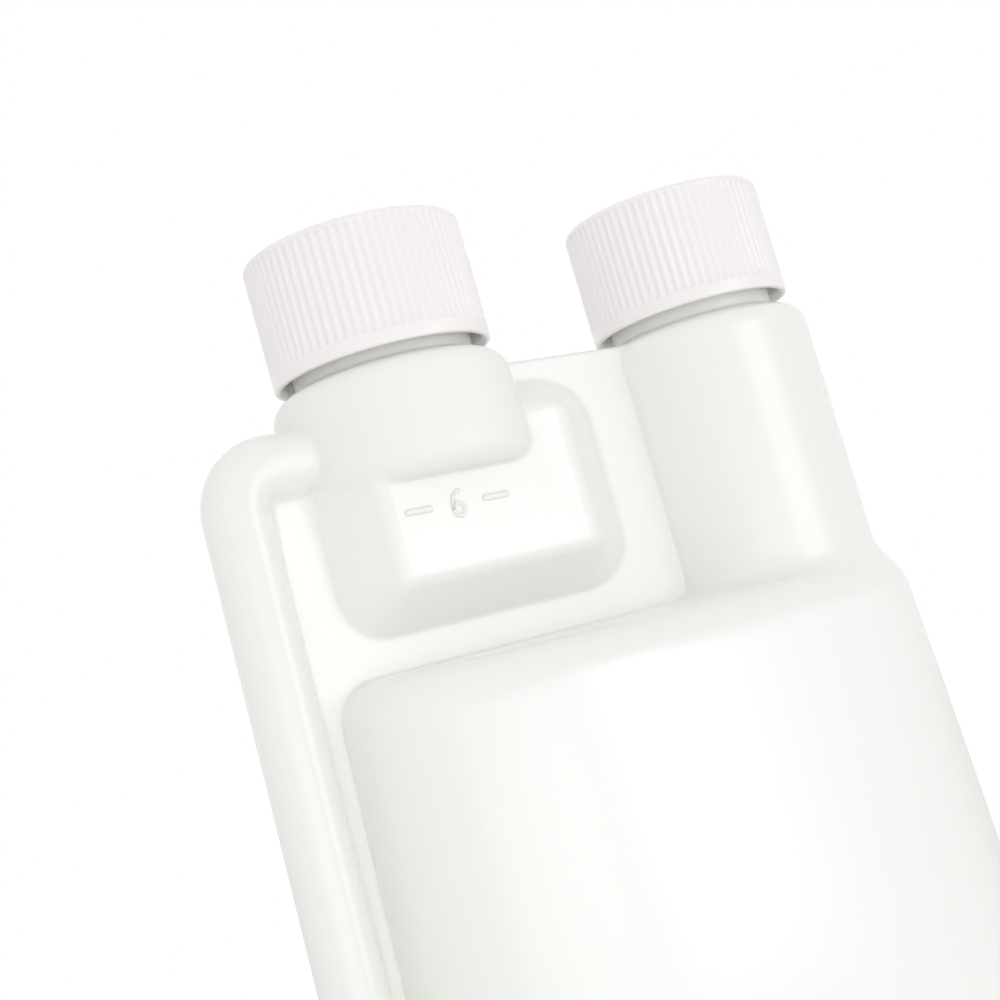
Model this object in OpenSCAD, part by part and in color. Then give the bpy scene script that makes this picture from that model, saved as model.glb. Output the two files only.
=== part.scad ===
// Twin neck dosing squeeze bottle with its two screw caps.
// Squeezing the reservoir drives liquid up the side tube into the dosing chamber,
// where it is read against the raised mark and poured out of the dosing neck.
// The bottle is one hollow blow moulding. Each cap is one injection moulding,
// and each holds a loose sealing disc that seats on the neck's rim.

/* [Reservoir] */
// Width of the reservoir at its base
body_w = 101.5; // [90:0.5:130]
// Depth of the reservoir at its base, front to back
body_d = 52; // [46:0.5:70]
// Height of the reservoir up to the ridge of its shoulder
body_h = 128; // [100:1:200]
// How far each side draws in between the base and the shoulder
body_draw = 2.8; // [1:0.1:4]
// Fullness of the plan: 2 is an ellipse, more is squarer
body_fullness = 2.8; // [2.2:0.1:3.6]
// How far the reservoir's middle lies from the necks' middle, towards the tube
body_lean = 1.45; // [0:0.05:3]
// Fall of the shoulder from its ridge to its front and back edges
shoulder_fall = 3.2; // [1:0.1:5]
// Rounding between the shoulder and the sides
shoulder_r = 5.5; // [3:0.5:8]
// Rounding between the sides and the base
base_r = 5; // [3:0.5:8]
// Height of the hollow pushed up under the base
push_up = 3; // [1:0.5:5]
// Width of the standing rim round that hollow
foot_w = 8; // [6:0.5:11]
// Wall of the blow moulding
wall = 1.2; // [0.8:0.1:1.5]

/* [Filling tower] */
// Distance between the axes of the two necks
neck_spacing = 56.7; // [54:0.1:66]
// Diameter of the tower under the filling neck
tower_d = 33.5; // [31:0.1:38]
// Height of the tower from the reservoir's ridge to its own shoulder
tower_h = 39.6; // [34:0.1:60]
// Rounding of the shoulder under each neck
neck_shoulder_r = 3.6; // [2:0.1:4]
// Blend between the tower's foot and the reservoir
tower_blend = 3.5; // [1:0.1:5]

/* [Dosing chamber] */
// Width of the chamber where the mould halves meet
chamber_w = 50.2; // [46:0.1:56]
// Height of the chamber where the mould halves meet
chamber_h = 32; // [28:0.1:40]
// Depth of the chamber between its front and back panels
chamber_d = 21; // [16:0.1:26]
// Gap between the reservoir's ridge and the chamber
chamber_lift = 4.4; // [3:0.1:8]
// How far the chamber reaches from the dosing neck's axis towards the tube
chamber_reach = 17.9; // [17:0.1:22]
// Run of the sloped flanks at the top, the bottom and the tube side
flank_run = 5.8; // [3:0.1:8]
// Run of the longer flank on the tower side
long_flank_run = 12.3; // [8:0.1:16]
// Corner rounding of the chamber where the mould halves meet
chamber_r = 6.5; // [3:0.1:9]
// Corner rounding of the front and back panels
panel_r = 1.2; // [0.6:0.1:3]
// Diameter of the round column under the dosing neck
column_d = 33.2; // [31:0.1:38]
// Height of that column from its shoulder to its underside
column_h = 16.1; // [13:0.1:19]
// Rounding of the column's lower edge
column_r = 3; // [1:0.1:4]

/* [Transfer tube] */
// Outer diameter of the tube
tube_d = 8.8; // [7:0.1:11]
// Bore of the tube
tube_bore = 6.4; // [4:0.1:7]
// Web left between the tube and the reservoir
tube_gap = 2; // [1.5:0.1:4]
// Radius of the tube's bends on its centre line
tube_bend = 5.8; // [5.6:0.1:9]
// Drop of the tube's upper run below the column's shoulder
tube_drop = 9.7; // [8:0.1:12]
// Height of the tube's lower run above the base
tube_foot = 13; // [11:0.5:30]

/* [Web] */
// Thickness of the pinched web between the hollow parts
web_t = 1.8; // [1.2:0.1:2.4]
// Drop of the web's upper edge below the necks' shoulders
web_drop = 0.5; // [0:0.1:3]

/* [Neck finish] */
// Bore of each neck
neck_bore = 21.6; // [19:0.1:22]
// Diameter of each neck below its thread
neck_root_d = 25; // [24.6:0.1:25.4]
// Height of each neck from its shoulder to its rim
neck_h = 16.9; // [15:0.1:20]
// Height of the thread's crest above the neck
thread_rise = 1.1; // [0.8:0.05:1.2]
// Rise of the thread in one turn
thread_pitch = 4.23; // [4:0.01:4.5]
// Turns of thread on the neck
neck_thread_turns = 1.5; // [1:0.1:1.7]
// Width of a thread at its root
thread_root_w = 1.9; // [1.4:0.05:2.1]
// Width of a thread at its crest
thread_crest_w = 0.8; // [0.4:0.05:1]
// Distance from the neck's rim to the middle of the thread's upper end
thread_start = 2.2; // [2:0.1:3]

/* [Caps] */
// Wall of a cap's skirt, between its thread's root and its grooves
cap_wall = 1.05; // [0.8:0.05:2]
// Height of a cap
cap_h = 17.9; // [16.5:0.1:19]
// Thickness of a cap's top
cap_top = 1.4; // [1:0.1:2.5]
// Number of grip ribs
rib_count = 72; // [48:1:80]
// Depth of the grooves between the ribs
rib_rise = 0.3; // [0.1:0.05:0.4]
// Width of a rib at its crest
rib_crest_w = 0.5; // [0.3:0.05:0.6]
// Width of a groove at its floor
groove_w = 0.35; // [0.2:0.05:0.4]
// Plain band under the ribs
cap_band = 2; // [1:0.1:4]
// Rounding of a cap's upper edge
cap_edge_r = 0.9; // [0.5:0.1:1.2]
// Turns of thread inside a cap
cap_thread_turns = 1.1; // [0.8:0.1:1.3]
// Running clearance between a cap's thread and the neck
thread_fit = 0.3; // [0.25:0.05:0.4]
// Thickness of a sealing disc
liner_t = 1; // [0.6:0.1:1.6]
// Clearance round a sealing disc
liner_fit = 0.3; // [0.2:0.05:0.5]
// Angle by which the filling cap is turned back from closed
filling_cap_back = 46; // [0:1:90]

/* [Mark] */
// Height of the raised numeral
mark_h = 3.9; // [2.5:0.1:5]
// Width of the raised strokes
mark_stroke = 0.6; // [0.4:0.05:0.9]
// Length of each raised dash
dash_l = 5; // [3:0.1:6]
// Thickness of each raised dash
dash_t = 0.9; // [0.5:0.1:1.5]
// Relief of the mark
mark_rise = 0.35; // [0.2:0.05:0.6]
// Height of the mark above the chamber's floor
mark_level = 14.8; // [10:0.1:17]
// Offset of the numeral from the dosing neck's axis, towards the tube
mark_shift = 1.7; // [0:0.1:4]

/* [Hidden] */
$fn = 96;
// Overlap that lets joined forms fuse, and overrun of cutting forms
weld = 0.4;
// Points round a lofted ring, and steps in a quarter of a rounded edge
ring_points = 60;
edge_steps = 5;
// Points across the shoulder from front to back
roof_steps = 8;
// Points round the tube, and steps in each of its bends
tube_sides = 24;
bend_steps = 8;
// Steps in one turn of a thread, and the angle over which its ends fade
thread_steps = 36;
thread_fade = 40;
// Depth to which the tower's blend dives into the reservoir
blend_dive = shoulder_r / 4;
// Smallest corner rounding inside the chamber
least_corner_r = panel_r / 2;
// Numeral, as shares of its height: radius of its bowl, sweep of its stem, drop of its bowl
bowl_share = 0.3;
stem_share = 0.56;
bowl_drop = 0.2;

// Places along the width, from the middle of the two necks
dosing_x = -neck_spacing / 2;
filling_x = neck_spacing / 2;
body_x = -body_lean;
tube_r = tube_d / 2;
tube_low_x = body_x - body_w / 2 - tube_gap - tube_r;
tube_high_x = tube_low_x + body_draw;

// Heights above the base
neck_z = body_h + tower_h;
land_z = neck_z + neck_h;
cap_z = land_z + liner_t + cap_top - cap_h;
chamber_z = body_h + chamber_lift;
column_z = neck_z - column_h;
tube_high_z = neck_z - tube_drop;
web_z = neck_z - web_drop;
mark_z = chamber_z + mark_level;

// The tube leans with the side of the reservoir, and its lower bend reaches furthest out
tube_lean = atan2(body_draw, tube_high_z - tube_foot);
tube_left_x = tube_low_x - tube_r + tube_bend * (tan((90 + tube_lean) / 2) - 1);
// The whole is centred on its own width
middle_x = (tube_left_x + body_x + body_w / 2) / 2;

// Chamber in its own frame, seen from the front
chamber_left = dosing_x - chamber_reach;
chamber_right = chamber_left + chamber_w;
chamber_half = chamber_d / 2;

// Cap fits
thread_crest_d = neck_root_d + 2 * thread_rise;
cap_root_d = thread_crest_d + 2 * thread_fit;
cap_crest_d = neck_root_d + 2 * thread_fit;
skirt_d = cap_root_d + 2 * cap_wall;
cap_d = skirt_d + 2 * rib_rise;
liner_d = cap_root_d - 2 * liner_fit;
neck_thread_z = land_z - thread_start - thread_pitch * neck_thread_turns;
cap_thread_z = neck_thread_z - thread_pitch / 2;

// Points on an arc of a profile, about c, from angle a0 to angle a1
function arc(c, r, a0, a1, steps = edge_steps) =
    [for (i = [0 : steps]) let (a = a0 + (a1 - a0) * i / steps) c + r * [cos(a), sin(a)]];

// Rise of a cap that is turned back from closed by an angle, to a hundredth of a millimetre
function cap_rise(back) = round(thread_pitch * back / 360 * 100) / 100;

// Signed power, for the superellipse
function spow(v, p) = sign(v) * pow(abs(v), p);

// A point of the reservoir's plan at angle a, drawn in by e
function plan(a, e) = [
    body_x + (body_w / 2 - e) * spow(cos(a), 2 / body_fullness),
    (body_d / 2 - e) * spow(sin(a), 2 / body_fullness)
];

// Inward draw of the sides at height z
function draw(z) = body_draw * pow(min(1, max(0, z / body_h)), 2);

// Height of the shoulder at depth y
function roof(y) = body_h - shoulder_fall * pow(2 * y / body_d, 2);

// Reservoir as rings from the base to the shoulder's edge, and a roof of strips.
// inset shrinks the form all over, for the hollow inside.
module reservoir_form(inset = 0) {
    half = ring_points / 2;
    low_r = base_r - inset;
    top_r = shoulder_r - inset;
    wall_top = body_h - shoulder_fall - shoulder_r;
    side = concat(
        [for (i = [0 : edge_steps]) let (a = 90 * i / edge_steps)
            [inset + low_r * (1 - sin(a)), inset + low_r * (1 - cos(a))]],
        [for (i = [1 : edge_steps]) let (z = base_r + (wall_top - base_r) * i / (edge_steps + 1))
            [inset, z]]
    );
    side_rings = [for (s = side, k = [0 : ring_points - 1])
        let (p = plan(360 * k / ring_points, s[0] + draw(s[1]))) [p[0], p[1], s[1]]];
    edge_rings = [for (i = [0 : edge_steps], k = [0 : ring_points - 1])
        let (a = 90 * i / edge_steps,
             p = plan(360 * k / ring_points, inset + draw(body_h) + top_r * (1 - cos(a))))
        [p[0], p[1], roof(p[1]) - inset - top_r * (1 - sin(a))]];
    rings = len(side) + edge_steps + 1;
    last = (rings - 1) * ring_points;
    strips = [for (k = [1 : half - 1], j = [1 : roof_steps - 1])
        let (p = edge_rings[edge_steps * ring_points + k],
             y = p[1] * (1 - 2 * j / roof_steps))
        [p[0], y, roof(y) - inset]];
    roof_from = rings * ring_points;
    centre = roof_from + len(strips);
    // Index of the roof point in column k, row j from front half to back half
    function at(k, j) = k == 0 ? last : k == half ? last + half
        : j == 0 ? last + k
        : j == roof_steps ? last + ring_points - k
        : roof_from + (k - 1) * (roof_steps - 1) + j - 1;
    wrap = function (k) k % ring_points;
    sides = [for (i = [0 : rings - 2], k = [0 : ring_points - 1])
        let (a = i * ring_points) each [
            [a + k, a + ring_points + k, a + wrap(k + 1)],
            [a + ring_points + k, a + ring_points + wrap(k + 1), a + wrap(k + 1)]]];
    floor_fan = [for (k = [0 : ring_points - 1]) [centre, k, wrap(k + 1)]];
    roof_faces = [for (k = [0 : half - 1], j = [0 : roof_steps - 1]) each concat(
        k < half - 1 ? [[at(k, j), at(k + 1, j + 1), at(k + 1, j)]] : [],
        k > 0 ? [[at(k, j), at(k, j + 1), at(k + 1, j + 1)]] : [])];
    polyhedron(
        points = concat(side_rings, edge_rings, strips, [[body_x, 0, inset]]),
        faces = concat(sides, floor_fan, roof_faces),
        convexity = 4);
}

// Hollow pushed up under the base. grow thickens it, for the floor above it.
module push_up_form(grow = 0) {
    levels = [[foot_w - grow, -weld], [foot_w - grow, 0], [foot_w + push_up - grow, push_up + grow]];
    points = [for (s = levels, k = [0 : ring_points - 1])
        let (p = plan(360 * k / ring_points, s[0])) [p[0], p[1], s[1]]];
    loft(points, ring_points, len(levels));
}

// Closed loft through equal rings of points, listed ring by ring
module loft(points, n, rings) {
    wrap = function (k) k % n;
    sides = [for (i = [0 : rings - 2], k = [0 : n - 1]) let (a = i * n) each [
        [a + k, a + n + k, a + wrap(k + 1)],
        [a + n + k, a + n + wrap(k + 1), a + wrap(k + 1)]]];
    polyhedron(
        points = points,
        faces = concat(sides, [[for (k = [0 : n - 1]) k]],
            [[for (k = [n - 1 : -1 : 0]) (rings - 1) * n + k]]),
        convexity = 4);
}

// Turned column from z0 to z1, with its upper and lower edges rounded
module turned(r, z0, z1, top_r, low_r) {
    rotate_extrude() polygon(concat(
        [[0, z0]],
        low_r > 0 ? arc([r - low_r, z0 + low_r], low_r, -90, 0) : [[r, z0]],
        top_r > 0 ? arc([r - top_r, z1 - top_r], top_r, 0, 90) : [[r, z1]],
        [[0, z1]]));
}

// How far a place on the shoulder lies inside the reservoir's outline, by halving
function inside(x, y, low = 0, high = body_d / 4, steps = 14) =
    let (
        e = (low + high) / 2,
        a = body_w / 2 - draw(body_h) - e,
        b = body_d / 2 - draw(body_h) - e,
        out = pow(abs(x - body_x) / a, body_fullness) + pow(abs(y) / b, body_fullness) > 1
    )
    steps == 0 ? e : out ? inside(x, y, low, e, steps - 1) : inside(x, y, e, high, steps - 1);

// Height of the reservoir's top at a place, with its rounded edge
function top_z(x, y) =
    let (d = max(0, shoulder_r - inside(x, y)))
    roof(y) - shoulder_r + sqrt(pow(shoulder_r, 2) - pow(d, 2));

// Blend round the tower's foot, following the reservoir's top. It is narrow where the
// tower stands near the edge, and it dives into the tower and into the reservoir.
module tower_foot() {
    r0 = tower_d / 2 - weld / 2;
    // Room from the tower to the reservoir's outline at angle a
    function room(a) = inside(filling_x + tower_d / 2 * cos(a), tower_d / 2 * sin(a));
    profile = concat([[0, -weld, -blend_dive], [1, 0, -blend_dive]],
        [for (i = [0 : edge_steps]) let (a = 90 * i / edge_steps)
            [1 - sin(a), 0, 1 - cos(a)]],
        [[0, -weld, 1]]);
    n = len(profile);
    points = [for (k = [0 : ring_points - 1], s = profile)
        let (
            a = 360 * k / ring_points,
            b = min(tower_blend, room(a)) + weld / 2,
            r = r0 + b * s[0] + s[1],
            x = filling_x + r * cos(a),
            y = r * sin(a)
        )
        [x, y, top_z(x, y) + (s[2] < 0 ? s[2] : b * s[2])]];
    faces = [for (k = [0 : ring_points - 1], i = [0 : n - 1])
        let (a = k * n, b = ((k + 1) % ring_points) * n, j = (i + 1) % n) each [
            [a + i, a + j, b + i], [a + j, b + j, b + i]]];
    polyhedron(points = points, faces = faces, convexity = 6);
}

// Ring of the chamber at depth y, inset evenly by w
function chamber_ring(y, w) =
    let (
        t = abs(y) / chamber_half,
        even = w * norm([1, flank_run / chamber_half]),
        long = w * norm([1, long_flank_run / chamber_half]),
        x0 = chamber_left + flank_run * t + even,
        x1 = chamber_right - long_flank_run * t - long,
        z0 = chamber_z + flank_run * t + even,
        z1 = chamber_z + chamber_h - flank_run * t - even,
        r = max(least_corner_r, chamber_r + (panel_r - chamber_r) * t - w)
    )
    [for (p = concat(
        arc([x1 - r, z1 - r], r, 0, 90), arc([x0 + r, z1 - r], r, 90, 180),
        arc([x0 + r, z0 + r], r, 180, 270), arc([x1 - r, z0 + r], r, 270, 360)))
        [p[0], y, p[1]]];

// Dosing chamber, a double frustum with sloped flanks
module chamber_form(inset = 0) {
    depth = chamber_half - inset;
    rings = [for (y = [depth, 0, -depth]) chamber_ring(y, inset)];
    loft([for (ring = rings) each ring], len(rings[0]), len(rings));
}

// Transfer tube, swept along its route: foot, bend, leaning run, bend, upper run.
// A station is a place across and up, with the heading there.
module tube_form(r) {
    low = [tube_low_x + tube_bend * tan((90 + tube_lean) / 2), tube_foot];
    high = [tube_high_x + tube_bend * tan((90 - tube_lean) / 2), tube_high_z];
    function left(h) = [-sin(h), cos(h)];
    stations = concat(
        [[[body_x - body_w / 2 + base_r, tube_foot], 180]],
        [for (i = [0 : bend_steps]) let (h = 180 - (90 + tube_lean) * i / bend_steps)
            [low + tube_bend * ([0, 1] + left(h)), h]],
        [for (i = [0 : bend_steps]) let (h = (90 - tube_lean) * (1 - i / bend_steps))
            [high + tube_bend * ([0, -1] + left(h)), h]],
        [[[dosing_x - column_d / 4, tube_high_z], 0]]);
    points = [for (s = stations, k = [0 : tube_sides - 1])
        let (t = 360 * k / tube_sides, p = s[0] + r * cos(t) * left(s[1]))
        [p[0], -r * sin(t), p[1]]];
    loft(points, tube_sides, len(stations));
}

// Pinched web that joins the tube, the chamber, the tower and the reservoir
module web() {
    rotate([90, 0, 0]) linear_extrude(web_t, center = true) polygon([
        [tube_low_x, tube_foot],
        [tube_high_x, tube_high_z - tube_bend],
        [tube_high_x + tube_bend, tube_high_z],
        [dosing_x, tube_high_z],
        [dosing_x, web_z],
        [filling_x, web_z],
        [filling_x, body_h - shoulder_r],
        [body_x, body_h - shoulder_r],
        [body_x, tube_foot]]);
}

// Helical ridge on a round wall of radius r0, with its crest at radius r1, outside the
// wall or inside it. It rises anticlockwise from z0, and its ends sink into the wall.
module thread(r0, r1, z0, turns) {
    n = ceil(turns * thread_steps);
    total = 360 * turns;
    rise = abs(r1 - r0);
    // Half width of the ridge at height h above the wall
    function half_w(h) = (thread_root_w + (thread_crest_w - thread_root_w) * h / rise) / 2;
    points = [for (i = [0 : n])
        let (
            a = total * i / n,
            z = z0 + thread_pitch * a / 360,
            fade = sin(90 * min(1, min(a, total - a) / thread_fade)),
            crest = -weld / 2 + (rise + weld / 2) * fade
        )
        for (p = [[-weld, -1], [crest, -1], [crest, 1], [-weld, 1]])
            let (r = r0 + sign(r1 - r0) * p[0])
            [r * cos(a), r * sin(a), z + p[1] * half_w(p[0])]];
    m = 4;
    sides = [for (i = [0 : n - 1], k = [0 : m - 1])
        let (a = i * m, b = a + m, j = (k + 1) % m) each [
            [a + k, b + k, a + j], [b + k, b + j, a + j]]];
    ends = [[for (k = [0 : m - 1]) k], [for (k = [m - 1 : -1 : 0]) n * m + k]];
    faces = concat(sides, ends);
    polyhedron(points = points, convexity = 10, faces = r1 < r0 ? faces
        : [for (f = faces) [for (k = [len(f) - 1 : -1 : 0]) f[k]]]);
}

// Neck with its outer thread, standing on a shoulder
module neck_finish() {
    translate([0, 0, neck_z - weld]) cylinder(d = neck_root_d, h = neck_h + weld);
    thread(neck_root_d / 2, thread_crest_d / 2, neck_thread_z, neck_thread_turns);
}

// Numeral six, drawn from a ring and a rising arc
module numeral_six() {
    bowl = mark_h * bowl_share;
    stem = mark_h - bowl;
    difference() {
        circle(r = bowl);
        circle(r = bowl - mark_stroke);
    }
    intersection() {
        translate([stem - bowl, 0]) difference() {
            circle(r = stem);
            circle(r = stem - mark_stroke);
        }
        translate([-bowl, 0]) square([mark_h * stem_share, stem]);
    }
}

// Raised fill mark on the front panel: a numeral between two dashes
module fill_mark() {
    step = dash_l / 2 + mark_h;
    translate([dosing_x - mark_shift, -chamber_half + weld, mark_z]) rotate([90, 0, 0])
        linear_extrude(weld + mark_rise) {
            translate([0, -mark_h * bowl_drop]) numeral_six();
            for (side = [-1, 1])
                translate([side * step, 0]) square([dash_l, dash_t], center = true);
        }
}

// Outside of the moulding
module bottle_skin() {
    reservoir_form();
    translate([filling_x, 0, 0])
        turned(tower_d / 2, body_h - shoulder_fall - shoulder_r, neck_z, neck_shoulder_r, 0);
    tower_foot();
    translate([dosing_x, 0, 0])
        turned(column_d / 2, column_z, neck_z, neck_shoulder_r, column_r);
    chamber_form();
    tube_form(tube_r);
    web();
    fill_mark();
    for (x = [dosing_x, filling_x]) translate([x, 0, 0]) neck_finish();
}

// Inside of the moulding, one connected space
module bottle_hollow() {
    difference() {
        reservoir_form(wall);
        push_up_form(wall);
    }
    translate([filling_x, 0, 0])
        turned(tower_d / 2 - wall, body_h - shoulder_fall - shoulder_r - 2 * wall,
            neck_z - wall, neck_shoulder_r - wall, 0);
    translate([dosing_x, 0, 0])
        turned(column_d / 2 - wall, column_z + wall, neck_z - wall,
            neck_shoulder_r - wall, column_r - wall);
    chamber_form(wall);
    tube_form(tube_bore / 2);
    for (x = [dosing_x, filling_x])
        translate([x, 0, neck_z - 2 * wall]) cylinder(d = neck_bore, h = neck_h + 3 * wall);
}

module bottle() {
    color("whitesmoke") translate([-middle_x, 0, 0]) difference() {
        bottle_skin();
        bottle_hollow();
        push_up_form();
    }
}

// Grooves between the grip ribs, from the plain band up to the rounded edge
module grip_grooves() {
    floor_half = groove_w / 2;
    crest_half = (PI * cap_d / rib_count - rib_crest_w) / 2;
    overrun = rib_rise / 2;
    mouth_half = crest_half + (crest_half - floor_half) * overrun / rib_rise;
    mouth_r = cap_d / 2 + overrun;
    translate([0, 0, cap_band]) linear_extrude(cap_h - cap_edge_r - cap_band)
        for (k = [1 : rib_count]) rotate((k + 1 / 2) * 360 / rib_count) polygon([
            [skirt_d / 2, -floor_half], [mouth_r, -mouth_half],
            [mouth_r, mouth_half], [skirt_d / 2, floor_half]]);
}

// Screw cap on a neck whose axis is at x, turned back from closed by an angle
module screw_cap(x, back = 0) {
    inner = cap_root_d / 2;
    translate([x - middle_x, 0, cap_rise(back)]) rotate(back) {
        translate([0, 0, cap_z]) difference() {
            turned(cap_d / 2, 0, cap_h, cap_edge_r, rib_rise);
            grip_grooves();
            // Hollow of the skirt, with a lead-in at its mouth
            rotate_extrude() polygon([
                [0, -weld], [inner + rib_rise, -weld], [inner + rib_rise, 0],
                [inner, rib_rise], [inner, cap_h - cap_top], [0, cap_h - cap_top]]);
        }
        thread(inner, cap_crest_d / 2, cap_thread_z, cap_thread_turns);
    }
}

// Sealing disc against a cap's top, seated on the neck's rim when the cap is closed
module liner_disc(x, back = 0) {
    translate([x - middle_x, 0, land_z + cap_rise(back)])
        cylinder(d = liner_d, h = liner_t);
}

module dosing_cap() { color("white") screw_cap(dosing_x); }
module filling_cap() { color("white") screw_cap(filling_x, filling_cap_back); }
module dosing_cap_liner() { color("gainsboro") liner_disc(dosing_x); }
module filling_cap_liner() { color("gainsboro") liner_disc(filling_x, filling_cap_back); }

bottle();
dosing_cap();
dosing_cap_liner();
filling_cap();
filling_cap_liner();
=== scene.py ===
# %% [markdown]
# # A dosing squeeze bottle
# The object is a twin neck bottle for a liquid that is used in small measures. Squeezing the
# wide reservoir drives liquid up the thin tube into the small chamber, and it is poured from
# the chamber's own neck. The bottle is one blow moulding in natural HDPE, and each of its two
# necks has a ribbed screw cap in white polypropylene, with a loose foam disc inside.
#
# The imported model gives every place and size. This file gives the looks: it models the
# moulding's true wall and soft blends, the ribbed caps and the threads, and their plastics.

# %% Load the frame
import math

import bpy
import numpy as np
from mathutils import Matrix, Vector


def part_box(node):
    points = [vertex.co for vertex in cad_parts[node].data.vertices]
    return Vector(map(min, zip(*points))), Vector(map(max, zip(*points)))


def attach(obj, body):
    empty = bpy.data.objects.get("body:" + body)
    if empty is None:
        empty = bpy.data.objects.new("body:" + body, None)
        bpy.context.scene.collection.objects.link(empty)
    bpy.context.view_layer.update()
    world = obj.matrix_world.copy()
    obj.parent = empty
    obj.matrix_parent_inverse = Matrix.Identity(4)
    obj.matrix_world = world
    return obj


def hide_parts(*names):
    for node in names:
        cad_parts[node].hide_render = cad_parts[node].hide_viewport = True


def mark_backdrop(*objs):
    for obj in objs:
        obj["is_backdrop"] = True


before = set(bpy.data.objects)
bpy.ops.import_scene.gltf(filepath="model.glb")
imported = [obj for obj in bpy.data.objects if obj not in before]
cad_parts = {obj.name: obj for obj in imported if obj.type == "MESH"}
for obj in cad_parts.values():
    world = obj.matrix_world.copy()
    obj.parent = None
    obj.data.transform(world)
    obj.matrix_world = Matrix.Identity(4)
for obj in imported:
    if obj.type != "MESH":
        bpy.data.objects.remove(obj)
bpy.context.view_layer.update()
MM = 0.001

# %% [markdown]
# ## Places
# Lengths in this file are millimetres, and they turn into metres when a mesh is made. The
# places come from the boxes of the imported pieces, and the sizes that a box can't tell, such
# as a radius or a wall, repeat the construction's own values.

# %% Places and sizes in millimetres
def piece_box(name):
    """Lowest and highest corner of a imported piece, in millimetres."""
    low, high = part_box(name)
    return np.array(low) / MM, np.array(high) / MM


bottle_low, bottle_high = piece_box("bottle")
dosing_low, dosing_high = piece_box("dosing_cap")
filling_low, filling_high = piece_box("filling_cap")

WALL = 1.2
BODY_W, BODY_D, BODY_H = 101.5, 52.0, 128.0
BODY_DRAW, BODY_FULLNESS = 2.8, 2.8
SHOULDER_FALL, SHOULDER_R, BASE_R = 3.2, 5.5, 5.0
PUSH_UP, FOOT_W = 3.0, 8.0
TOWER_R, COLUMN_R = 16.75, 16.6
COLUMN_H, COLUMN_EDGE_R, NECK_SHOULDER_R = 16.1, 3.0, 3.6
NECK_H, NECK_R, NECK_BORE_R = 16.9, 12.5, 10.8
CHAMBER_W, CHAMBER_H, CHAMBER_D, CHAMBER_LIFT, CHAMBER_REACH = 50.2, 32.0, 21.0, 4.4, 17.9
FLANK_RUN, LONG_FLANK_RUN, CHAMBER_R, PANEL_R = 5.8, 12.3, 6.5, 1.2
TUBE_R, TUBE_GAP, TUBE_BEND, TUBE_DROP, TUBE_FOOT = 4.4, 2.0, 5.8, 9.7, 13.0
WEB_T, WEB_DROP = 1.8, 0.5

dosing_x = (dosing_low[0] + dosing_high[0]) / 2
filling_x = (filling_low[0] + filling_high[0]) / 2
body_x = bottle_high[0] - BODY_W / 2
land_z = bottle_high[2]
neck_z = land_z - NECK_H
column_z = neck_z - COLUMN_H
chamber_z = BODY_H + CHAMBER_LIFT
chamber_left = dosing_x - CHAMBER_REACH
chamber_right = chamber_left + CHAMBER_W
tube_top_z = neck_z - TUBE_DROP
tube_low_x = body_x - BODY_W / 2 - TUBE_GAP - TUBE_R
tube_lean = BODY_DRAW / (tube_top_z - TUBE_FOOT)
web_z = neck_z - WEB_DROP
print("dosing neck at x", round(dosing_x, 2), "filling neck at x", round(filling_x, 2))

# %% [markdown]
# ## The moulding as a distance field
# A blow moulding has no sharp inner corners: the melt is blown against a mould, and every
# part flows into the next through a fillet. Booleans and bevels tear on shapes like these.
# A distance field handles them well: each form is a formula that is negative inside, and two
# forms join through a fillet of a chosen radius. The same field with the wall's thickness
# added to it is negative only in the hollow, so the wall comes out even all over.

# %% Joining two forms
def join(a, b, r):
    """Union of two fields, with a fillet of about radius r. The blend is a mean of the two,
    so it is never steeper than they are, and the wall under it is never thinner."""
    width = 1.17 * r
    share = np.maximum(width - np.abs(a - b), 0) / width
    return np.minimum(a, b) - width * share ** 2 / 4


def meet(a, b, r):
    """Intersection of two fields, with its outer edge rounded to radius r."""
    return np.minimum(np.maximum(a, b), -r) + np.hypot(np.maximum(a + r, 0), np.maximum(b + r, 0))


# %% The reservoir
def reservoir(x, y, z):
    """Superellipse in plan, drawn in towards a bowed shoulder, with a hollow under its base."""
    draw = BODY_DRAW * np.clip(z / BODY_H, 0, 1) ** 2
    a = BODY_W / 2 - draw
    b = BODY_D / 2 - draw
    n = BODY_FULLNESS
    u = np.abs(x - body_x) / a + 1e-6
    v = np.abs(y) / b + 1e-6
    rho = (u ** n + v ** n) ** (1 / n)
    steepness = np.hypot(u ** (n - 1) / a, v ** (n - 1) / b) * rho ** (1 - n)
    side = (rho - 1) / steepness
    slope = 8 * SHOULDER_FALL * y / BODY_D ** 2
    top = (z - BODY_H + SHOULDER_FALL * (2 * y / BODY_D) ** 2) / np.hypot(1, slope)
    depth = np.clip((-side - FOOT_W) / (2 * PUSH_UP), 0, 1)
    floor = (PUSH_UP * depth * depth * (3 - 2 * depth) - z) / np.hypot(1, 3 * depth * (1 - depth))
    return meet(meet(side, top, SHOULDER_R), floor, BASE_R)


# %% The tower, the column and the necks
def turned(x, y, z, axis_x, r, low, high, low_r, high_r):
    """Round column on an axis, from height low to high, with rounded ends."""
    side = np.hypot(x - axis_x, y) - r
    return meet(meet(side, z - high, high_r), low - z, low_r)


def tower(x, y, z):
    return turned(x, y, z, filling_x, TOWER_R, BODY_H - 2 * SHOULDER_R, neck_z, 0, NECK_SHOULDER_R)


def column(x, y, z):
    return turned(x, y, z, dosing_x, COLUMN_R, column_z, neck_z, COLUMN_EDGE_R, NECK_SHOULDER_R)


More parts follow.
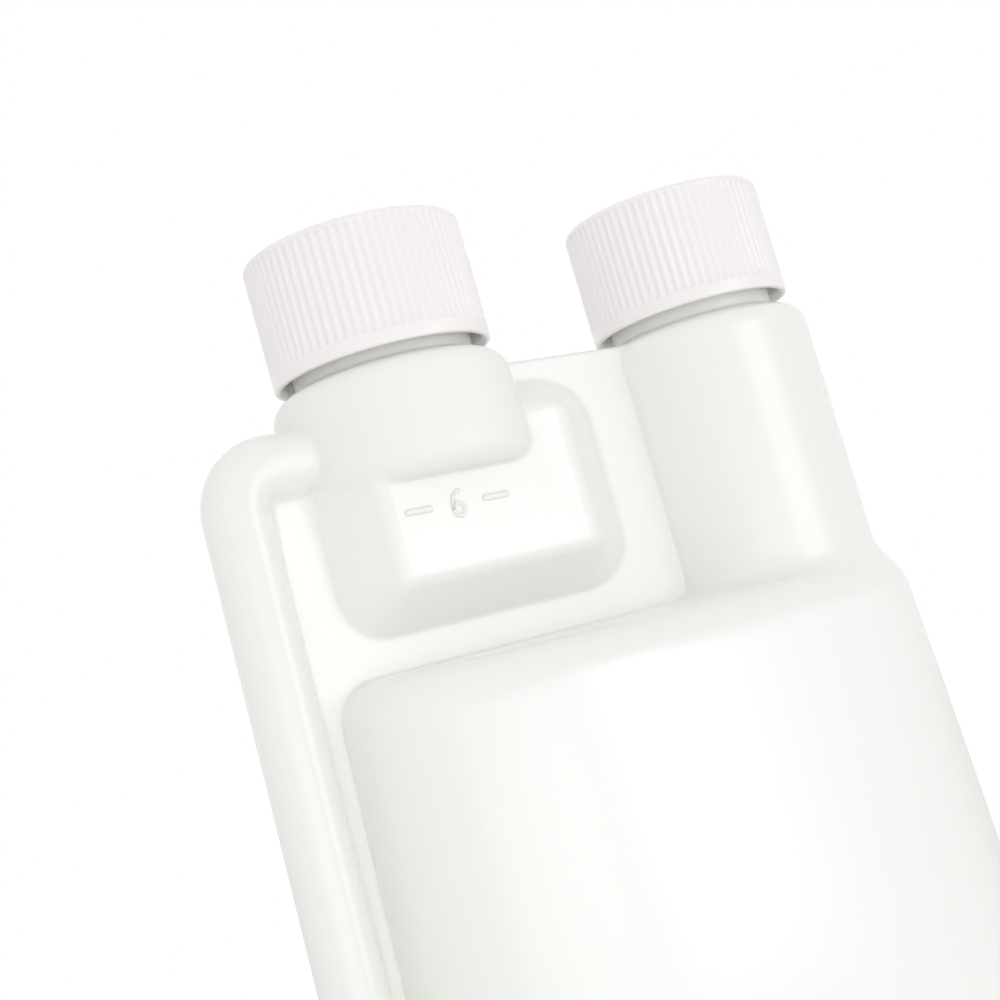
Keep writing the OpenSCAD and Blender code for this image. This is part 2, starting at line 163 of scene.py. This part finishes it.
# %% The dosing chamber
def chamber(x, y, z):
    """Double frustum: its flanks slope from the mould's parting plane to two flat panels."""
    depth = np.abs(y)
    share = depth * 2 / CHAMBER_D
    slope = np.hypot(1, 2 * FLANK_RUN / CHAMBER_D)
    long_slope = np.hypot(1, 2 * LONG_FLANK_RUN / CHAMBER_D)
    left = (chamber_left + FLANK_RUN * share - x) / slope
    right = (x - chamber_right + LONG_FLANK_RUN * share) / long_slope
    under = (chamber_z + FLANK_RUN * share - z) / slope
    over = (z - chamber_z - CHAMBER_H + FLANK_RUN * share) / slope
    corner = np.maximum(CHAMBER_R + (PANEL_R - CHAMBER_R) * share, PANEL_R)
    flanks = meet(np.maximum(left, right), np.maximum(under, over), corner)
    return meet(flanks, depth - CHAMBER_D / 2, PANEL_R)


# %% The tube and the pinched web
def inside_tube_line(x, z):
    """Distance across the parting plane to the tube's centre line, negative within it."""
    lean_x = tube_low_x + tube_lean * (z - TUBE_FOOT)
    bend = meet(lean_x - x, z - tube_top_z, TUBE_BEND)
    return meet(bend, TUBE_FOOT - z, TUBE_BEND)


def tube(x, y, z):
    return np.maximum(np.hypot(inside_tube_line(x, z), y) - TUBE_R, x - dosing_x)


def web(x, y, z):
    """Flat sheet where the mould pinches the two sides together."""
    under_tube = np.maximum(inside_tube_line(x, z), x - body_x)
    between = np.maximum(np.maximum(dosing_x - x, x - filling_x), z - web_z)
    outline = np.minimum(under_tube, np.maximum(between, BODY_H - SHOULDER_R - z))
    return meet(outline, np.abs(y) - WEB_T / 2, 0.5)


# %% The whole moulding
FILLET, TOWER_FILLET, CORNER_FILLET = 0.45, 3.0, 1.2
corner_x = tube_low_x + tube_lean * (tube_top_z - TUBE_FOOT) + TUBE_BEND


def blown_forms(x, y, z):
    """Everything that is blown hollow."""
    body = join(reservoir(x, y, z), tower(x, y, z), TOWER_FILLET)
    head = join(join(column(x, y, z), chamber(x, y, z), FILLET), tube(x, y, z), FILLET)
    return np.minimum(body, head)


def neck(x, y, z, axis_x, r, low, high):
    return turned(x, y, z, axis_x, r, low, high, 0, 0.3)


def moulding(x, y, z):
    """The bottle's plastic: negative in the wall, the necks and the web."""
    forms = blown_forms(x, y, z)
    hollow = forms + WALL
    # The web fills the inner corner of the tube's upper bend more than other corners
    off_corner = ((x - corner_x) ** 2 + (z - tube_top_z + TUBE_BEND) ** 2) / TUBE_BEND ** 2
    skin = join(forms, web(x, y, z), FILLET + (CORNER_FILLET - FILLET) * np.exp(-off_corner))
    for axis_x in (dosing_x, filling_x):
        skin = join(skin, neck(x, y, z, axis_x, NECK_R, neck_z - WALL, land_z), 0.6)
        bore = neck(x, y, z, axis_x, NECK_BORE_R, neck_z - 2 * WALL, land_z + 2 * WALL)
        hollow = np.minimum(hollow, bore)
    return np.maximum(skin, -hollow)


# %% [markdown]
# ## From the field to a mesh
# Surface nets put one point in each grid cell that the surface crosses, and join the points
# of the four cells round each crossed edge into a quad. A few Newton steps then draw every
# point exactly onto the surface, and the field's own slope gives the normals, so the shading
# is as smooth as the moulding and doesn't show the grid.

# %% Meshing a field
def surface_net(field, low, high, step):
    """Points and quads over the surface where field is zero."""
    counts = np.ceil((high - low) / step).astype(int) + 1
    axes = [low[a] + step * np.arange(counts[a]) for a in range(3)]
    values = np.empty(counts)
    slab = 12
    for i in range(0, counts[0], slab):
        x, y, z = np.meshgrid(axes[0][i:i + slab], axes[1], axes[2], indexing="ij")
        values[i:i + slab] = field(x, y, z)
    stride = np.array([counts[1] * counts[2], counts[2], 1])
    cells = int(np.prod(counts))
    total = np.zeros((cells, 3))
    hits = np.zeros(cells)
    quads = []
    for a in range(3):
        near = [slice(None)] * 3
        far = [slice(None)] * 3
        near[a] = slice(0, -1)
        far[a] = slice(1, None)
        index = np.argwhere((values[tuple(near)] < 0) != (values[tuple(far)] < 0))
        v0 = values[tuple(index.T)]
        along = np.eye(3, dtype=int)[a]
        v1 = values[tuple((index + along).T)]
        point = index + np.outer(v0 / (v0 - v1), along)
        corner = index @ stride
        b = stride[(a + 1) % 3]
        c = stride[(a + 2) % 3]
        ring = np.stack([corner, corner - b, corner - b - c, corner - c], 1)
        for cell in ring.T:
            hits += np.bincount(cell, minlength=cells)
            for k in range(3):
                total[:, k] += np.bincount(cell, weights=point[:, k], minlength=cells)
        ring[v0 > 0] = ring[v0 > 0][:, ::-1]
        quads.append(ring)
    used = hits > 0
    points = low + step * total[used] / hits[used][:, None]
    number = np.cumsum(used) - 1
    return points, number[np.concatenate(quads)]


def slope_of(field, points, h=0.02):
    """Gradient of a field at each point."""
    steps = h * np.eye(3)
    return np.stack([field(*(points + e).T) - field(*(points - e).T) for e in steps], 1) / (2 * h)


def settle(field, points, rounds=3, reach=0.6):
    """Draws points onto the surface, by Newton's method."""
    for _ in range(rounds):
        slope = slope_of(field, points)
        move = field(*points.T) / np.maximum((slope ** 2).sum(1), 0.1)
        points = points - np.clip(move, -reach, reach)[:, None] * slope
    return points


# %% [markdown]
# ## Making objects
# Every mesh is built from plain lists of points and faces. A piece rides on the body that
# carries it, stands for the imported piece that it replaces, and takes its finish's slot.

# %% Mesh helpers
def mesh_object(name, points, faces, material):
    """Smooth shaded object from points in millimetres."""
    mesh = bpy.data.meshes.new(name)
    mesh.from_pydata((np.asarray(points) * MM).tolist(), [], [list(map(int, f)) for f in faces])
    mesh.shade_smooth()
    mesh.materials.append(material)
    made = bpy.data.objects.new(name, mesh)
    bpy.context.scene.collection.objects.link(made)
    return made


def seat(piece, body, node):
    """Fixes a finished piece to its body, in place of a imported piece."""
    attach(piece, body)
    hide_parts(node)


def points_of(mesh):
    """Places of a mesh's points, in millimetres."""
    flat = np.empty(len(mesh.vertices) * 3)
    mesh.vertices.foreach_get("co", flat)
    return flat.reshape(-1, 3) / MM


# %% [markdown]
# ## Materials
# Natural HDPE is high density polyethylene without pigment. It is milky: light enters, is
# scattered for a few millimetres and leaves again, so its shadows are soft and pale. Blown
# against a sandblasted mould it has a satin skin with a faint orange peel. The caps are white
# polypropylene, injection moulded, harder and a little glossier, with a warmer white.

# %% Colour and node helpers
def linear(code):
    """Linear colour from an sRGB hex code."""
    parts = [int(code[i:i + 2], 16) / 255 for i in (1, 3, 5)]
    return [c / 12.92 if c <= 0.04045 else ((c + 0.055) / 1.055) ** 2.4 for c in parts] + [1]


def add(tree, kind, inputs=None, **settings):
    """Adds a node with its settings, and sets or links its inputs by name or number."""
    made = tree.nodes.new(kind)
    for name, value in settings.items():
        setattr(made, name, value)
    for name, value in (inputs or {}).items():
        if isinstance(value, bpy.types.NodeSocket):
            tree.links.new(value, made.inputs[name])
        else:
            made.inputs[name].default_value = value
    return made


def new_material(name):
    """Material with an empty node tree and its output."""
    material = bpy.data.materials.new(name)
    material.use_nodes = True
    material.node_tree.nodes.clear()
    return material, material.node_tree, material.node_tree.nodes.new("ShaderNodeOutputMaterial")


# %% Natural HDPE, blown
def natural_hdpe():
    """Unpigmented polyethylene: milky and satin, with painted light that makes flat faces facing front or
    back whiter, and a whiter web that is partly its solid plastic and partly painted light.
    """
    material, tree, output = new_material("natural_hdpe")
    place = add(tree, "ShaderNodeTexCoord").outputs["Object"]
    # Wall thickness drifts over about 30 mm, which shows as a faint change of tone
    drift = add(tree, "ShaderNodeTexNoise", {"Vector": place, "Scale": 1 / 0.030, "Detail": 2})
    tone = add(tree, "ShaderNodeMix", {
        0: drift.outputs["Fac"], "A": linear("#F4F5F1"), "B": linear("#F6F7F3")}, data_type="RGBA")
    blasted = add(tree, "ShaderNodeAttribute", attribute_name="blasted")
    rough = add(tree, "ShaderNodeMapRange", {
        "Value": blasted.outputs["Fac"], "To Min": 0.26, "To Max": 0.55})
    # This mix paints flat faces that face front or back whiter, as painted light and reflection. On the web
    # the white is partly its solid plastic and partly painted light.
    painted_light_and_solid_web = add(tree, "ShaderNodeAttribute", attribute_name="painted_light_and_solid_web")
    colour = add(tree, "ShaderNodeMix", {
        0: painted_light_and_solid_web.outputs["Fac"], "A": tone.outputs[2], "B": linear("#FEFEFC")}, data_type="RGBA")
    # Orange peel from the blasted mould, about 0.7 mm between its swellings
    peel = add(tree, "ShaderNodeTexNoise", {"Vector": place, "Scale": 1 / 0.0007, "Detail": 1})
    skin = add(tree, "ShaderNodeBump", {
        "Height": peel.outputs["Fac"], "Strength": 0.12, "Distance": 0.00004})
    # Hairline where the mould halves meet, 0.3 mm wide on the plane y = 0
    across = add(tree, "ShaderNodeSeparateXYZ", {"Vector": place})
    away = add(tree, "ShaderNodeMath", {0: across.outputs["Y"]}, operation="ABSOLUTE")
    ridge = add(tree, "ShaderNodeMapRange", {
        "Value": away.outputs[0], "From Min": 0.0, "From Max": 0.0003, "To Min": 1.0, "To Max": 0.0})
    seam = add(tree, "ShaderNodeBump", {
        "Height": ridge.outputs[0], "Normal": skin.outputs[0], "Strength": 0.35, "Distance": 0.0001})
    shader = add(tree, "ShaderNodeBsdfPrincipled", {
        "Base Color": colour.outputs[2], "Roughness": rough.outputs[0], "IOR": 1.54,
        "Normal": seam.outputs[0],
        "Subsurface Weight": 0.3, "Subsurface Radius": (1.0, 1.0, 0.9), "Subsurface Scale": 0.001})
    tree.links.new(shader.outputs[0], output.inputs["Surface"])
    return material


# %% White polypropylene, injection moulded
def white_pp():
    """Pigmented polypropylene: warm white, satin gloss, hardly any light passes."""
    material, tree, output = new_material("white_polypropylene")
    place = add(tree, "ShaderNodeTexCoord").outputs["Object"]
    # Flow of the pigment, over about 12 mm
    flow = add(tree, "ShaderNodeTexNoise", {"Vector": place, "Scale": 1 / 0.012, "Detail": 3})
    colour = add(tree, "ShaderNodeMix", {
        0: flow.outputs["Fac"], "A": linear("#F7F2F3"), "B": linear("#FAF6F6")}, data_type="RGBA")
    # Polished steel leaves a trace of machining, about 0.4 mm apart
    trace = add(tree, "ShaderNodeTexNoise", {"Vector": place, "Scale": 1 / 0.0004, "Detail": 1})
    skin = add(tree, "ShaderNodeBump", {
        "Height": trace.outputs["Fac"], "Strength": 0.1, "Distance": 0.00002})
    shader = add(tree, "ShaderNodeBsdfPrincipled", {
        "Base Color": colour.outputs[2], "Roughness": 0.33, "IOR": 1.49, "Normal": skin.outputs[0],
        "Subsurface Weight": 0.25, "Subsurface Radius": (1.0, 0.9, 0.85), "Subsurface Scale": 0.0006})
    tree.links.new(shader.outputs[0], output.inputs["Surface"])
    return material


# %% Polyethylene foam
def foam():
    """Closed cell foam, cut in discs: matt, pale, with cells of about 0.25 mm."""
    material, tree, output = new_material("polyethylene_foam")
    place = add(tree, "ShaderNodeTexCoord").outputs["Object"]
    cells = add(tree, "ShaderNodeTexVoronoi", {"Vector": place, "Scale": 1 / 0.00025})
    colour = add(tree, "ShaderNodeMix", {
        0: cells.outputs["Distance"], "A": linear("#DAD8D3"), "B": linear("#EDEBE7")},
        data_type="RGBA")
    pits = add(tree, "ShaderNodeBump", {
        "Height": cells.outputs["Distance"], "Strength": 0.5, "Distance": 0.00005})
    shader = add(tree, "ShaderNodeBsdfPrincipled", {
        "Base Color": colour.outputs[2], "Roughness": 0.8, "IOR": 1.45, "Normal": pits.outputs[0]})
    tree.links.new(shader.outputs[0], output.inputs["Surface"])
    return material


hdpe = natural_hdpe()
pp = white_pp()
liner_foam = foam()

# %% [markdown]
# ## The bottle
# The grid is 0.65 mm, about half of the wall, so that the two faces of the wall never share
# a cell. Collapsing edges brings the count down where the surface is nearly flat, and the
# points are drawn onto the surface once more after that.

# %% Mesh of the moulding
GRID = 0.65
FACE_LIMIT = 190000


def collapse(piece, limit):
    """Fewer triangles, most of them taken from the flatter stretches."""
    triangles = 2 * len(piece.data.polygons)
    if triangles > limit:
        fewer = piece.modifiers.new("fewer", "DECIMATE")
        fewer.ratio = limit / triangles
        evaluated = piece.evaluated_get(bpy.context.evaluated_depsgraph_get())
        mesh = bpy.data.meshes.new_from_object(evaluated)
        piece.modifiers.clear()
        piece.data = mesh
    return piece


def painted_light_and_solid_web_share(points, normals):
    """Share of painted light, from 0 to 1. Flat faces that face front or back, away from the round forms and
    the tube, are painted whiter for the light and reflection that fall on them. The photograph shows the
    flat faces and the web whiter than the round forms, and this follows it. The web is painted half as
    white, partly as its solid plastic and partly as painted light. A thicker wall there would explain it,
    which is a guess."""
    # Painted light and reflection: flat faces that face front or back, away from the round forms and the
    # tube, are made whiter
    facing = np.clip((np.abs(normals[:, 1]) - 0.9) / 0.1, 0, 1)
    round_forms = np.minimum(tower(*points.T), column(*points.T))
    painted_flat_light = facing * np.clip((round_forms - 1) / 2, 0, 1) * np.clip((tube(*points.T) - 0.3) / 0.5, 0, 1)
    # The web: whiter partly as its solid plastic and partly as painted light
    solid_and_lit_web = np.clip(1 - web(*points.T) / FILLET, 0, 1)
    return np.maximum(painted_flat_light, 0.5 * solid_and_lit_web)


def make_bottle():
    margin = 2.5 * GRID
    points, quads = surface_net(moulding, bottle_low - margin, bottle_high + margin, GRID)
    points = settle(moulding, points)
    piece = mesh_object("bottle_moulding", points, quads, hdpe)
    collapse(piece, FACE_LIMIT)
    mesh = piece.data
    mesh.name = piece.name
    points = settle(moulding, points_of(mesh), rounds=2)
    mesh.vertices.foreach_set("co", (points * MM).ravel())
    normals = slope_of(moulding, points)
    normals /= np.linalg.norm(normals, axis=1)[:, None]
    # On a crease the field has no one slope, so the mesh's own normal is kept there
    own = np.empty(len(points) * 3)
    mesh.vertex_normals.foreach_get("vector", own)
    own = own.reshape(-1, 3)
    crease = (normals * own).sum(1) < 0.95
    normals[crease] = own[crease]
    mesh.shade_smooth()
    mesh.normals_split_custom_set_from_vertices(normals.tolist())
    # Painted light: a whiter colour on flat faces that face front or back, and on the web, where it is
    # partly the solid plastic
    mesh.attributes.new("painted_light_and_solid_web", "FLOAT", "POINT").data.foreach_set("value", painted_light_and_solid_web_share(points, normals))
    # The photograph shows no bright band on the column, so its skin is made rougher. That its
    # mould was blasted more coarsely there is a guess
    blasted = np.clip(1 - np.abs(column(*points.T)) / 0.6, 0, 1)
    mesh.attributes.new("blasted", "FLOAT", "POINT").data.foreach_set("value", blasted)
    return piece


bottle = make_bottle()
seat(bottle, "bottle", "bottle")
print("bottle:", len(bottle.data.vertices), "points,", len(bottle.data.polygons), "faces")

# %% [markdown]
# ## The threads
# A neck's thread is a helical ridge that fades into the wall at both ends. It is one sweep:
# the same section at every step, turned about the axis and lifted by its share of the pitch.

# %% Helical ridge
PITCH, THREAD_RISE, ROOT_W, CREST_W = 4.23, 1.1, 1.9, 0.8
NECK_TURNS, CAP_TURNS, THREAD_START, THREAD_FIT = 1.5, 1.1, 2.2, 0.3
FADE = math.radians(40)
STEPS_A_TURN = 120


def helix(axis_x, wall_r, crest_r, low_z, turns, start=0):
    """Points and quads of a ridge on a round wall, rising anticlockwise from low_z."""
    outward = 1 if crest_r > wall_r else -1
    sunk = 0.2
    # Section as height above the wall and half width there, with its crest rounded
    section = [(-sunk, ROOT_W / 2), (0.15, ROOT_W / 2 * 0.86), (0.8, CREST_W / 2 + 0.1), (1, CREST_W / 2)]
    section = [(h, -w) for h, w in section] + [(h, w) for h, w in reversed(section)]
    count = math.ceil(turns * STEPS_A_TURN)
    points = []
    for i in range(count + 1):
        angle = 2 * math.pi * turns * i / count
        ends = min(angle, 2 * math.pi * turns - angle)
        fade = math.sin(math.pi / 2 * min(1, ends / FADE))
        middle = low_z + PITCH * angle / (2 * math.pi)
        for height, half in section:
            lift = height * THREAD_RISE * fade if height > 0 else height
            r = wall_r + outward * (lift - sunk * (1 - fade))
            turn = start + angle
            points.append((axis_x + r * math.cos(turn), r * math.sin(turn), middle + half))
    n = len(section)
    quads = []
    for i in range(count):
        for k in range(n):
            a, b = i * n + k, i * n + (k + 1) % n
            quads.append((a, a + n, b + n, b) if outward > 0 else (a, b, b + n, a + n))
    ends = [tuple(range(n)), tuple(range(count * n + n - 1, count * n - 1, -1))]
    return points, quads + ([e[::-1] for e in ends] if outward < 0 else ends)


neck_thread_z = land_z - THREAD_START - PITCH * NECK_TURNS
for side, axis_x in (("dosing", dosing_x), ("filling", filling_x)):
    points, quads = helix(axis_x, NECK_R, NECK_R + THREAD_RISE, neck_thread_z, NECK_TURNS)
    ridge = mesh_object(side + "_neck_thread", points, quads, hdpe)
    seat(ridge, "bottle", "bottle")

# %% [markdown]
# ## The fill mark
# A raised six stands between two dashes on the chamber's front panel. The strokes are cut
# into the mould with a round tool, so they are rounded bars that grow out of the panel.

# %% Raised strokes
MARK_H, MARK_RISE, MARK_LEVEL, MARK_SHIFT = 3.9, 0.2, 14.8, 1.3
STROKE, DASH_L, DASH_T = 0.6, 4.4, 0.9
panel_y = -CHAMBER_D / 2
mark_x = dosing_x - MARK_SHIFT
mark_z = chamber_z + MARK_LEVEL


def stroke(path, width):
    """Rounded bar along a path of places on the panel, as points and quads."""
    sides = 12
    half = width / 2
    path = np.array(path, float)
    ahead = np.gradient(path, axis=0)
    ahead /= np.linalg.norm(ahead, axis=1)[:, None]
    caps = [math.sin(math.acos(min(1, t))) for t in (1, 0.75, 0.45, 0.15)]
    before = [(path[0] - ahead[0] * half * t, ahead[0], s) for t, s in zip((1, 0.75, 0.45, 0.15), caps)]
    after = [(path[-1] + ahead[-1] * half * t, ahead[-1], s)
             for t, s in zip((0.15, 0.45, 0.75, 1), caps[::-1])]
    stations = before + [(p, d, 1) for p, d in zip(path, ahead)] + after
    points = []
    for place, heading, size in stations:
        aside = np.array([-heading[1], heading[0]])
        for k in range(sides):
            turn = 2 * math.pi * k / sides
            across = place + aside * half * size * math.cos(turn)
            points.append((across[0], panel_y - MARK_RISE * size * math.sin(turn), across[1]))
    quads = []
    for i in range(len(stations) - 1):
        for k in range(sides):
            a, b = i * sides + k, i * sides + (k + 1) % sides
            quads.append((a, b, b + sides, a + sides))
    return points, quads


def gather(parts):
    """Several lists of points and faces as one."""
    points, faces = [], []
    for new_points, new_faces in parts:
        base = len(points)
        points += list(new_points)
        faces += [[base + i for i in face] for face in new_faces]
    return points, faces


def six():
    """A ring with a stem that rises from its left side."""
    r = MARK_H * 0.3 - STROKE / 2
    top = MARK_H - 2 * r - STROKE
    low = mark_z - MARK_H / 2 + r + STROKE / 2
    ring = [(mark_x + r * math.cos(t), low + r * math.sin(t)) for t in np.linspace(math.pi, -math.pi, 33)]
    stem = [(mark_x - r + 1.7 * r * s ** 2.2, low + (top + r) * math.sin(s * math.pi / 2))
            for s in np.linspace(1, 0, 12)]
    return stroke(stem[:-1] + ring, STROKE)


reach = DASH_L / 2 + MARK_H
along_dash = np.linspace(-1, 1, 6) * (DASH_L - DASH_T) / 2
dashes = [stroke([(mark_x + side * reach + t, mark_z) for t in along_dash], DASH_T)
          for side in (-1, 1)]
mark = mesh_object("fill_mark", *gather([six()] + dashes), hdpe)
seat(mark, "bottle", "bottle")

# %% [markdown]
# ## The caps
# A screw cap is turned about its axis apart from its grip ribs, so it is built as a grid of
# columns round the axis and rows along its profile. Each rib takes ten columns, which sink
# between the crests by a smooth wave, and the sinking fades out above and below the ribs.

# %% Ribbed cap
RIBS, RIB_RISE, BAND, EDGE_R, CAP_TOP = 72, 0.3, 2.0, 0.9, 1.4
COLUMNS_A_RIB = 10
cap_r = (dosing_high[0] - dosing_low[0]) / 2
cap_h = dosing_high[2] - dosing_low[2]
closed_z = dosing_low[2]
cap_root_r = NECK_R + THREAD_RISE + THREAD_FIT


def cap_profile():
    """Rows of radius, height above the rim and depth of the grooves, from the hollow's middle
    round the rim to the middle of the top."""
    under = cap_h - CAP_TOP
    arc = np.linspace(0, math.pi / 2, 7)
    rows = [(0.6, under, 0), (cap_root_r - 0.5, under, 0), (cap_root_r, under - 0.5, 0),
            (cap_root_r, under - 4, 0), (cap_root_r, 1.3, 0), (cap_root_r + 0.3, 0.6, 0),
            (cap_root_r + 0.6, 0, 0)]
    rows += [(cap_r - 0.35 + 0.35 * math.sin(t), 0.35 - 0.35 * math.cos(t), 0) for t in arc[::2]]
    top = cap_h - EDGE_R - 0.25
    rows += [(cap_r, BAND - 0.12, 0), (cap_r, BAND, 0.15), (cap_r, BAND + 0.1, 0.7), (cap_r, BAND + 0.25, 1)]
    rows += [(cap_r, BAND + 0.25 + (top - BAND - 0.25) * t, 1) for t in np.linspace(0.1, 0.95, 8)]
    rows += [(cap_r, top, 0.85), (cap_r, top + 0.15, 0.35), (cap_r, top + 0.25, 0)]
    rows += [(cap_r - EDGE_R + EDGE_R * math.cos(t), cap_h - EDGE_R + EDGE_R * math.sin(t), 0)
             for t in arc[1:]]
    rows += [(cap_r - 3, cap_h, 0), (6, cap_h, 0), (0.6, cap_h, 0)]
    return rows


def groove(phase):
    """Depth of the groove across one rib: crest at 0, valley at a half."""
    return (0.5 - 0.5 * math.cos(2 * math.pi * phase)) ** 0.8


def make_cap(name, axis_x, cap_z):
    """Cap with its rim at height cap_z. The higher it stands, the further it is unscrewed."""
    rows = cap_profile()
    columns = RIBS * COLUMNS_A_RIB
    back = 2 * math.pi * (cap_z - closed_z) / PITCH
    points = []
    for r, z, depth in rows:
        for k in range(columns):
            turn = back + 2 * math.pi * k / columns
            radius = r - RIB_RISE * depth * groove((k % COLUMNS_A_RIB) / COLUMNS_A_RIB)
            points.append((axis_x + radius * math.cos(turn), radius * math.sin(turn), cap_z + z))
    quads = [(i * columns + k, i * columns + (k + 1) % columns,
              (i + 1) * columns + (k + 1) % columns, (i + 1) * columns + k)
             for i in range(len(rows) - 1) for k in range(columns)]
    under = len(points)
    points += [(axis_x, 0, cap_z + cap_h - CAP_TOP), (axis_x, 0, cap_z + cap_h)]
    last = (len(rows) - 1) * columns
    quads += [(under, (k + 1) % columns, k) for k in range(columns)]
    quads += [(under + 1, last + k, last + (k + 1) % columns) for k in range(columns)]
    thread_z = neck_thread_z - PITCH / 2 + cap_z - closed_z
    ridge = helix(axis_x, cap_root_r, NECK_R + THREAD_FIT, thread_z, CAP_TURNS, back)
    cap = mesh_object(name + "_ribbed", *gather([(points, quads), ridge]), pp)
    seat(cap, name, name)
    return cap


for name, axis_x, cap_z in (("dosing_cap", dosing_x, dosing_low[2]),
                            ("filling_cap", filling_x, filling_low[2])):
    cap = make_cap(name, axis_x, cap_z)
    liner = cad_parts[name + "_liner"]
    liner.data.materials.clear()
    liner.data.materials.append(liner_foam)
    print(cap.name, len(cap.data.polygons), "faces")

# %% [markdown]
# ## Stage, light and camera
# The photograph is white on white. A bright surround gives most of the light, and a low soft
# box in front adds a little from the left. A small box near the bottle adds only the pale
# bands that the photograph shows on the tower and the reservoir. It is an aid, not a lamp
# that lights the plastic. The world is white to the eye, and lights the object less.

# %% Floor and world
def make_floor():
    """Pale floor that keeps the shadow near the bottle and turns white far away."""
    half = 4000
    corners = [(-half, -half, 0), (half, -half, 0), (half, half, 0), (-half, half, 0)]
    material, tree, output = new_material("pale_floor")
    place = add(tree, "ShaderNodeTexCoord").outputs["Object"]
    away = add(tree, "ShaderNodeVectorMath", {0: place}, operation="LENGTH")
    far = add(tree, "ShaderNodeMapRange", {
        "Value": away.outputs["Value"], "From Min": 0.2, "From Max": 0.7})
    seen = add(tree, "ShaderNodeLightPath").outputs["Is Camera Ray"]
    white = add(tree, "ShaderNodeMath", {0: far.outputs[0], 1: seen}, operation="MULTIPLY")
    matt = add(tree, "ShaderNodeBsdfDiffuse", {"Color": linear("#F4F4F2")})
    glow = add(tree, "ShaderNodeEmission", {"Color": (1, 1, 1, 1), "Strength": 1.0})
    mix = add(tree, "ShaderNodeMixShader", {0: white.outputs[0], 1: matt.outputs[0], 2: glow.outputs[0]})
    tree.links.new(mix.outputs[0], output.inputs["Surface"])
    floor = mesh_object("floor", corners, [(0, 1, 2, 3)], material)
    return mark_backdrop(floor)


WORLD_LIGHT = 0.86


def make_world():
    """White to the camera and in reflections, and softer as a lamp."""
    world = bpy.data.worlds.new("white_surround")
    bpy.context.scene.world = world
    world.use_nodes = True
    tree = world.node_tree
    tree.nodes.clear()
    path = add(tree, "ShaderNodeLightPath")
    seen = add(tree, "ShaderNodeMath", {
        0: path.outputs["Is Camera Ray"], 1: path.outputs["Is Transmission Ray"]}, operation="MAXIMUM")
    seen = add(tree, "ShaderNodeMath", {
        0: seen.outputs[0], 1: path.outputs["Is Glossy Ray"]}, operation="MAXIMUM")
    strength = add(tree, "ShaderNodeMapRange", {
        "Value": seen.outputs[0], "To Min": WORLD_LIGHT, "To Max": 1.0})
    background = add(tree, "ShaderNodeBackground", {
        "Color": (1, 1, 1, 1), "Strength": strength.outputs[0]})
    output = add(tree, "ShaderNodeOutputWorld")
    tree.links.new(background.outputs[0], output.inputs["Surface"])


def soft_box(name, azimuth, height, distance, width, length, power, sheen_only=False, aim=(0, 0, 110)):
    """Area light that looks at the object. Azimuth is in degrees from +X, lengths in mm.
    One that gives only sheen shows in reflections and adds no light to the plastic's colour."""
    lamp = bpy.data.lights.new(name, "AREA")
    lamp.shape = "RECTANGLE"
    lamp.size = width * MM
    lamp.size_y = length * MM
    lamp.energy = power
    made = bpy.data.objects.new(name, lamp)
    turn = math.radians(azimuth)
    place = Vector((distance * math.cos(turn), distance * math.sin(turn), height)) * MM
    made.location = place
    made.rotation_euler = (Vector(aim) * MM - place).to_track_quat("-Z", "Y").to_euler()
    made.visible_diffuse = not sheen_only
    made.visible_camera = False
    bpy.context.scene.collection.objects.link(made)


make_floor()
make_world()
soft_box("front_soft_box", 255, 90, 450, 400, 160, 0.3)
soft_box("strip_sheen", 294, 140, 160, 75, 160, 0.07, sheen_only=True, aim=(0, 0, 140))

# %% Camera at the photograph's place
YAW, PITCH_UP, ROLL = math.radians(35.092), math.radians(6.47), math.radians(-15.897)
CAMERA_PLACE = (-153.733, -206.173, 119.391)
LENS, SENSOR = 65.382, 36.0


def make_camera():
    ahead = Vector((math.sin(YAW) * math.cos(PITCH_UP), math.cos(YAW) * math.cos(PITCH_UP),
                    math.sin(PITCH_UP)))
    level = Vector((math.cos(YAW), -math.sin(YAW), 0))
    above = level.cross(ahead)
    right = level * math.cos(ROLL) + above * math.sin(ROLL)
    up = above * math.cos(ROLL) - level * math.sin(ROLL)
    camera = bpy.data.cameras.new("camera")
    camera.lens = LENS
    camera.sensor_width = SENSOR
    camera.clip_start = 0.01
    made = bpy.data.objects.new("camera", camera)
    turn = Matrix((right, up, -ahead)).transposed().to_4x4()
    made.matrix_world = Matrix.Translation(Vector(CAMERA_PLACE) * MM) @ turn
    bpy.context.scene.collection.objects.link(made)
    bpy.context.scene.camera = made


make_camera()
bpy.context.scene.view_settings.view_transform = "Standard"
